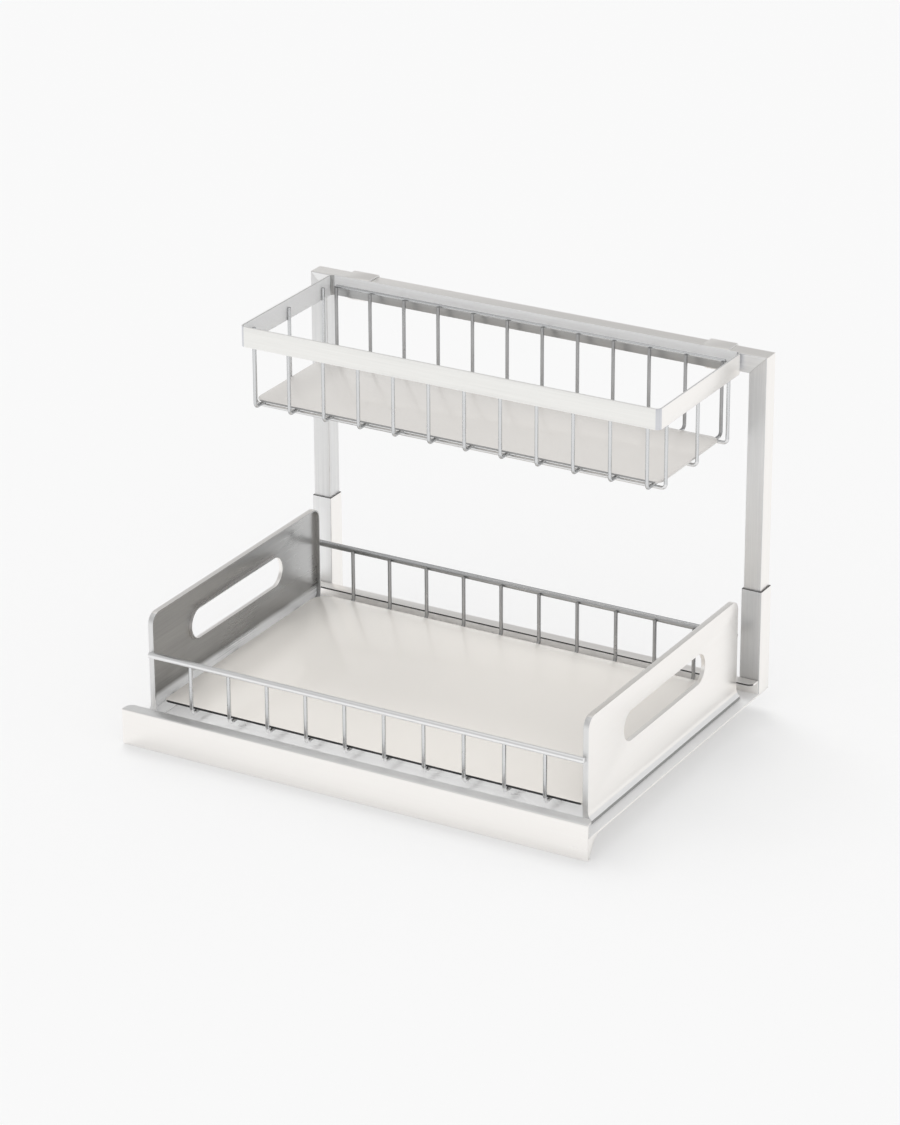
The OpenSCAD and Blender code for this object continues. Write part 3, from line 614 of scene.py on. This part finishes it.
for sign, side in ((-1, "left"), (1, "right")):
    low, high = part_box(f"side_panel_{side}")
    wall, foot_x = sign * WALL_X, sign * max(high.x, -low.x)
    start_panel(wall, low, high)
    # the flare and the turned-in foot
    grip("EDGE", lambda m: near(m.z, FLARE_Z))
    bpy.ops.mesh.spin(
        steps=6, angle=math.radians(FLARE_TURN) * sign,
        center=(wall + sign * FLARE_R, 0, FLARE_Z), axis=(0, 1, 0),
    )
    grip("EDGE", lambda m: m.z < FLARE_END_Z + 0.05 * MM)
    pull(z=low.z - FLARE_END_Z)
    pull(x=-sign * FOOT)
    grip("EDGE", lambda m: near(m.z, low.z) and near(m.x, foot_x))
    bpy.ops.mesh.bevel(offset=FOOT_BEND, segments=3, affect="EDGES")
    # the flange all round, down to the foot
    grip("EDGE", lambda m: on_flange(m, low, high), border=True)
    pull()
    bpy.ops.transform.resize(value=(0, 1, 1), center_override=(wall - sign * FLANGE, 0, 0))
    # the rolled edge of the slot
    grip("EDGE", lambda m: on_slot(m) and near(m.x, wall), border=True)
    pull(x=-sign * (SHEET + SLOT_ROLL))
    close_mesh()
    panel = bpy.context.object
    round_edges(panel, BEND_R, 4, 60)
    bpy.ops.object.mode_set(mode="EDIT")
    finish_edit(SHEET, EASE)
    paint(panel, steel_y, painted_inside_shade, blasted, shaded_upright, shade_line_steel, by=panel_finish)
    fit(panel, f"handle_panel_{side}", "lower_basket", "satin_steel", f"side_panel_{side}")


# ---- Rails and floor rods ----
# Two 5 mm rails join the panels in front and behind, and three rods of the same size
# run below the floor. All are drawn, polished wire, welded on at their ends.

def wire_finish(name, dark, light, rough, at_edges=0.35):
    """Drawn and polished wire: faint die lines, a slightly uneven lustre, and painted shade where it turns
    away.
    """
    mat, tree, here = start_material(name)
    lustre = wire_up(tree, "ShaderNodeTexNoise", {"Vector": here}, Scale=55.0, Detail=4.0)
    specks = wire_up(tree, "ShaderNodeTexNoise", {"Vector": here}, Scale=1400.0, Detail=2.0)
    metal = wire_up(tree, "ShaderNodeBsdfPrincipled", Metallic=1.0)
    drawn = colour_mix(tree, lustre.outputs["Fac"], dark, light)
    # painted shade on the faces that turn away from the eye
    turned = wire_up(tree, "ShaderNodeLayerWeight", Blend=0.35).outputs["Facing"]
    skin = colour_mix(tree, turned, drawn, tuple(at_edges * level for level in dark))
    tree.links.new(skin, metal.inputs["Base Color"])
    tree.links.new(blended(tree, lustre.outputs["Fac"], rough[1], rough[0]), metal.inputs["Roughness"])
    finish_material(tree, metal, specks.outputs["Fac"], 0.02, GRAIN_DEPTH / 2)
    return mat


def start_wire(radius, place, turn=(0, 0, 0), sides=14):
    """Opens a wire in edit mode as the filled ring of its section, all of it selected."""
    bpy.ops.object.select_all(action="DESELECT")
    bpy.ops.mesh.primitive_circle_add(
        vertices=sides, radius=radius, fill_type="NGON", location=place, rotation=turn
    )
    bpy.ops.object.transform_apply(location=True, rotation=True, scale=True)
    bpy.ops.object.mode_set(mode="EDIT")
    bpy.ops.mesh.select_all(action="SELECT")


def straight_bar(node, ease):
    """A round bar along X that fills the node's box, with its ends eased."""
    low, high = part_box(node)
    radius = (high.z - low.z) / 2
    start_wire(radius, (low.x, low.y + radius, low.z + radius), (0, math.radians(90), 0), sides=24)
    pull(x=high.x - low.x)
    return finish_edit(ease=ease)


# Lit and shaded copies of one wire: painted shade where wires lie in shade, painted light in full light
bright = wire_finish("wire_lit_copy", (0.72, 0.73, 0.74), (0.82, 0.83, 0.84), (0.20, 0.32))
shaded = wire_finish("wire_painted_shade", grey(0.42), grey(0.54), (0.22, 0.36))
pale = wire_finish("wire_painted_light", grey(0.90), grey(0.97), (0.24, 0.34))
palest = wire_finish("wire_painted_full_light", grey(0.97), grey(1.0), (0.26, 0.36), at_edges=0.8)
RAIL_EASE = 0.5 * MM
# painted light on the rails' tops; the front rail is painted light all round
for node, below, above in (("front_rail", palest, palest), ("rear_rail", shaded, bright)):
    rail = straight_bar(node, RAIL_EASE)
    paint(rail, below, above, by=lambda face: int(face.normal.z > 0.45))
    fit(rail, f"round_{node}", "lower_basket", "bright_wire", node)
# the rods under the mat take the painted shade
dress(shaded, "floor_rods")


# ---- Cross wires of the lower basket ----
# Ten 3 mm wires, each bent into a U, run from front to back over the floor rods. Their
# upright ends are welded to the rails, which leaves a small bead on each.

def quarter_bend(centre, axis, turn):
    """Carries the selected end of a wire round a quarter of a circle."""
    bpy.ops.mesh.spin(steps=6, angle=math.radians(turn), center=centre, axis=axis)


BEAD = 1.12  # a bead's radius over its wire's
WIRE_END_EASE = 0.25 * MM


def cross_wires(node, radius, bend_r, count, beads):
    """A row of U-shaped wires that run from front to back, with a bead of weld at each (y, z)."""
    low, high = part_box(node)
    x, y0, z0 = low.x + radius, low.y + radius, low.z + radius
    y1, top = high.y - radius, high.z
    start_wire(radius, (x, y0, top))
    pull(z=z0 + bend_r - top)
    quarter_bend((x, y0 + bend_r, z0 + bend_r), (1, 0, 0), -90)
    pull(y=y1 - y0 - 2 * bend_r)
    quarter_bend((x, y1 - bend_r, z0 + bend_r), (1, 0, 0), -90)
    pull(z=top - z0 - bend_r)
    for y, z in beads:
        bpy.ops.mesh.primitive_uv_sphere_add(
            segments=10, ring_count=6, radius=radius * BEAD, location=(x, y, z)
        )
    bpy.ops.mesh.select_all(action="SELECT")
    for _ in range(count - 1):
        bpy.ops.mesh.duplicate_move(TRANSFORM_OT_translate={"value": (-2 * x / (count - 1), 0, 0)})
    return finish_edit(ease=WIRE_END_EASE)


LOWER_WIRE_R = 1.5 * MM
LOWER_BEND = 4.0 * MM
BEAD_DROP = 1.2 * MM
FRONT_BEND = (12.0 * MM, 5.5 * MM)
low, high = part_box("lower_cross_wires")


def lower_wire_finish(face):
    """Painted shade behind, and the brightest painted light round the front bends."""
    if face.center.y > 0:
        return 1
    in_bend = face.center.y < low.y + FRONT_BEND[0] and face.center.z < low.z + FRONT_BEND[1]
    return 2 if in_bend else 0


beads = [(y, high.z - BEAD_DROP) for y in (low.y + LOWER_WIRE_R, high.y - LOWER_WIRE_R)]
wires = cross_wires("lower_cross_wires", LOWER_WIRE_R, LOWER_BEND, 10, beads)
paint(wires, bright, shaded, palest, by=lower_wire_finish)
fit(wires, "bent_wires_lower", "lower_basket", "bright_wire", "lower_cross_wires")


# ---- Lower mat ----
# A loose sheet of frosted plastic, cut with rounded corners, lies on the cross wires.
# Its front edge is painted black as the shadow under it.

MAT_EASE = 0.35 * MM
LOWER_MAT_CORNERS = (4.0 * MM, 14.0 * MM)  # in front and behind


def sheet_mat(node, corners, name, skin, edge):
    """A loose sheet with rounded corners and softened edges, with a painted shadow on its front edge."""
    low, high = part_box(node)
    middle = (low + high) / 2
    front_r, back_r = corners
    start_plate((high.x - low.x, high.y - low.y, 1), (middle.x, middle.y, high.z))
    grip("VERT", lambda m: m.y > middle.y)
    bpy.ops.mesh.bevel(offset=back_r, segments=8, affect="VERTICES")
    grip("VERT", lambda m: near(m.y, low.y))
    bpy.ops.mesh.bevel(offset=front_r, segments=6, affect="VERTICES")
    bpy.ops.mesh.select_all(action="SELECT")
    pull(z=low.z - high.z)
    mat = finish_edit(ease=MAT_EASE)
    paint(mat, skin, edge, by=lambda face: int(face.normal.y < -0.9 and low.z < face.center.z < high.z))
    fit(mat, name, node, "mat_plastic", node)


MAT_GLOSS, MAT_GRAIN = (0.2, 0.3), 1500.0
pale_skin = moulded(
    "glossy_mat_pale", (0.925, 0.89, 0.84), (0.955, 0.92, 0.87), MAT_GLOSS, MAT_GRAIN, 0.03,
    coat=0.35, lets_through=0.95,
)
# the black rubber on the front edge is painted shadow
sheet_mat("lower_mat", LOWER_MAT_CORNERS, "loose_mat_lower", pale_skin, rubber)

# ---- Upper frame ----
# A goalpost of 15 mm square tube, mitred and welded at its corners, plugs into the
# sleeves. It is brushed along each tube.

LEFT_POST_X = (-200.0 * MM, -180.0 * MM)
# darker, rougher copy of the steel across: painted shade on the crossbar's front
shaded_across = brushed_steel("steel_painted_shade_across", ALONG_X, grey(0.84), grey(0.93, 0.005), (0.36, 0.46))


def tube_finish(face):
    """Rougher with painted shade on the front faces, and on the side of the left post that faces the basket.
    """
    beside_basket = face.normal.x > 0.5 and LEFT_POST_X[0] < face.center.x < LEFT_POST_X[1]
    return int(face.normal.y < -0.5 or beside_basket)


for name, steel, dull in (
    ("post_left", steel_z, shaded_upright), ("post_right", steel_z, shaded_upright), ("crossbar", steel_x, shaded_across)
):
    tube = eased_copy(name)
    paint(tube, steel, dull, by=tube_finish)
    fit(tube, f"square_{name}", "upper_frame", "satin_steel", name)

# ---- Wires of the upper basket ----
# Twelve 2.8 mm wires in a U run from front to back, and three more run from side to
# side below them. A thinner wire closes the top of the back. All are welded.

WIRE = 1.4 * MM
BEND = 3.5 * MM
TOP_WIRE_EASE = 0.3 * MM
UPPER_BEAD_DROP = 4.0 * MM
BACK_Y = 60.0 * MM
low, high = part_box("upper_cross_wires")
wires = cross_wires("upper_cross_wires", WIRE, BEND, 12, [(low.y + WIRE, high.z - UPPER_BEAD_DROP)])
# painted shade on the back of the wires
paint(wires, bright, shaded, by=lambda face: int(face.center.y > BACK_Y))
fit(wires, "bent_wires_upper", "upper_basket", "bright_wire", "upper_cross_wires")

low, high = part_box("upper_long_wires")
x, y0, z0, top = low.x + WIRE, low.y + WIRE, low.z + WIRE, high.z
start_wire(WIRE, (x, y0, top))
pull(z=z0 + BEND - top)
quarter_bend((x + BEND, y0, z0 + BEND), (0, 1, 0), 90)
pull(x=-2 * x - 2 * BEND)
quarter_bend((-x - BEND, y0, z0 + BEND), (0, 1, 0), 90)
pull(z=top - z0 - BEND)
bpy.ops.mesh.select_all(action="SELECT")
step_y = (high.y - low.y - 2 * WIRE) / 2
for _ in range(2):
    bpy.ops.mesh.duplicate_move(TRANSFORM_OT_translate={"value": (0, step_y, 0)})
wires = finish_edit(ease=WIRE_END_EASE)
# painted light on the bottom runs
paint(wires, bright, pale, by=lambda face: int(face.center.z < z0 + BEND))
fit(wires, "long_wires_upper", "upper_basket", "bright_wire", "upper_long_wires")

wire = straight_bar("back_top_wire", TOP_WIRE_EASE)
paint(wire, bright)
fit(wire, "top_wire_back", "upper_basket", "bright_wire", "back_top_wire")

# ---- Upper mat ----
# A second loose sheet of frosted plastic lies on the upper basket's floor. It is a
# warmer grey than the lower one, with a grey painted shadow on its front edge.

UPPER_MAT_CORNERS = (8.0 * MM, 8.0 * MM)
warm_skin = moulded(
    "glossy_mat_warm", (0.74, 0.715, 0.685), (0.77, 0.745, 0.715), MAT_GLOSS, MAT_GRAIN, 0.03,
    coat=0.35, lets_through=0.7,
)
painted_shadow_edge = moulded("mat_edge_painted_shadow", grey(0.32), grey(0.38, 0.005), (0.3, 0.4), MAT_GRAIN, 0.03)
sheet_mat("upper_mat", UPPER_MAT_CORNERS, "loose_mat_upper", warm_skin, painted_shadow_edge)

# ---- Rim ----
# A flat band of brushed steel is bent round into a rim with rounded corners and closed
# by a weld. The tops of the wires are welded inside it.

RIM_CORNER = 4.5 * MM
UPPER_BAND = 9.0 * MM
SHORT_SIDE_X = 170.0 * MM
low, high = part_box("upper_rim")
middle = (low + high) / 2
start_plate((high.x - low.x, high.y - low.y, 1), (middle.x, middle.y, high.z))
bpy.ops.mesh.select_mode(type="VERT")
bpy.ops.mesh.select_all(action="SELECT")
bpy.ops.mesh.bevel(offset=RIM_CORNER, segments=7, affect="VERTICES")
bpy.ops.mesh.select_all(action="SELECT")
bpy.ops.mesh.delete(type="ONLY_FACE")
bpy.ops.mesh.select_mode(type="EDGE")
bpy.ops.mesh.select_all(action="SELECT")
pull(z=-UPPER_BAND)
pull(z=low.z - high.z + UPPER_BAND)
rim = finish_edit(SHEET, EASE)


def rim_finish(face):
    """Brushed along each side outside, dull inside, with painted shade low on the back and in the inner
    corners, and painted reflection on the outer corners.
    """
    out = face.center - middle
    across, deep = out.x * face.normal.x, out.y * face.normal.y
    inner = (across + 0.4 * deep if abs(out.x) > SHORT_SIDE_X else deep) < 0
    corner = 0.25 < abs(face.normal.x) < 0.97
    if inner:
        on_back = out.y > 0 and abs(face.normal.y) > 0.5
        low_back = on_back and face.center.z < high.z - UPPER_BAND - 0.1 * MM
        return 2 if low_back or corner else 3
    if corner:
        return 4
    return int(abs(face.normal.x) > 0.75)


rim_x = brushed_steel("steel_rim", ALONG_X, (0.885, 0.88, 0.855), (0.95, 0.945, 0.92), SATIN)
# painted shade for the low back and inner corners; bluish painted reflection for the outer corners
rim_shade_low = brushed_steel("steel_rim_painted_shade", ALONG_X, grey(0.43, 0.002), grey(0.50, 0.002), (0.26, 0.38))
rim_back = brushed_steel("steel_rim_back", ALONG_X, grey(0.84), grey(0.90), (0.42, 0.5), metal_part=0.0)
rim_corner_reflection = brushed_steel("steel_rim_corner_painted_reflection", ALONG_Z, (0.66, 0.67, 0.70), (0.74, 0.75, 0.78), (0.30, 0.4))
paint(rim, rim_x, steel_y, rim_shade_low, rim_back, rim_corner_reflection, by=rim_finish)
fit(rim, "rim_band", "upper_basket", "satin_steel", "upper_rim")

# ---- Hooks ----
# Two strips of the same sheet, folded over the crossbar and welded to the back of the
# rim, hang the basket on the frame. Their cut ends are blasted.

SETTLE = 0.25 * MM
for side in ("left", "right"):
    low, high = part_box(f"hook_{side}")
    under, legs = high.z - SHEET, (low.y + SHEET - 0.1 * MM, high.y - SHEET + 0.1 * MM)
    hook = eased_copy(f"hook_{side}")
    # the strip's underside comes down to rest on the crossbar
    start_edit(hook)
    grip("VERT", lambda m: near(m.z, under, SETTLE) and legs[0] < m.y < legs[1])
    bpy.ops.transform.translate(value=(0, 0, -SETTLE))
    bpy.ops.object.mode_set(mode="OBJECT")
    paint(hook, steel_x, blasted, by=lambda face: int(abs(face.normal.x) > 0.7))
    fit(hook, f"crossbar_hook_{side}", "upper_basket", "satin_steel", f"hook_{side}")
